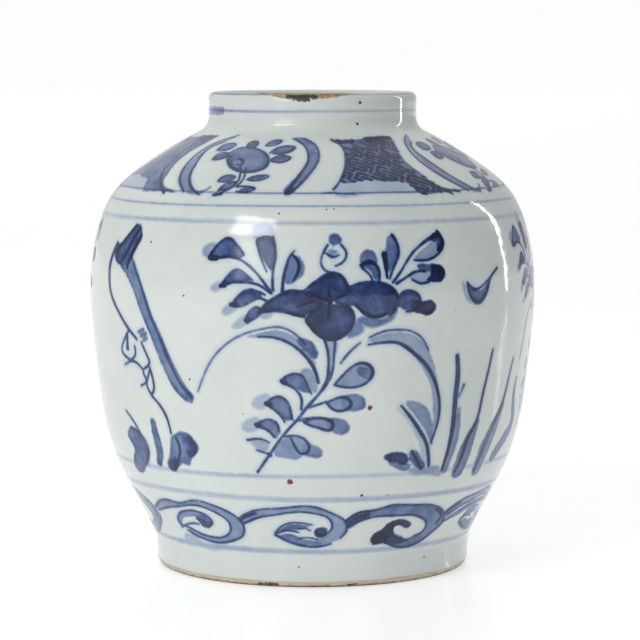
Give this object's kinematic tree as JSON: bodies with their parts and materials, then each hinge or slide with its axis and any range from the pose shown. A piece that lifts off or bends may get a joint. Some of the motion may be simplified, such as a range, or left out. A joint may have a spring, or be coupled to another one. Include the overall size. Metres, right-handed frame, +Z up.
{
  "type": "porcelain jar",
  "caption": "Broad-shouldered blue-and-white porcelain jar with a short upright neck and a foot ring, luted from thrown sections.",
  "frame": {"origin": "centre of the plane that the foot ring rests on", "axes": "+Z up along the jar's axis, -Y towards the side with the main flower spray, +X to the right of someone who looks at that side"},
  "size_m": [0.188, 0.188, 0.2],
  "materials": {
    "painted_porcelain": "bluish white glaze over cobalt blue brush painting",
    "glazed_porcelain": "bluish white glaze, bare at the foot ring's edge and worn at the lip",
    "porcelain_slip": "fired slip under the glaze"
  },
  "bodies": {
    "root": {"foot_and_base": "glazed_porcelain", "base_luting_slip": "porcelain_slip", "lower_body": "painted_porcelain", "belly_luting_slip": "porcelain_slip", "upper_body": "painted_porcelain", "neck_luting_slip": "porcelain_slip", "neck_collar": "glazed_porcelain"}
  },
  "joints": []
}
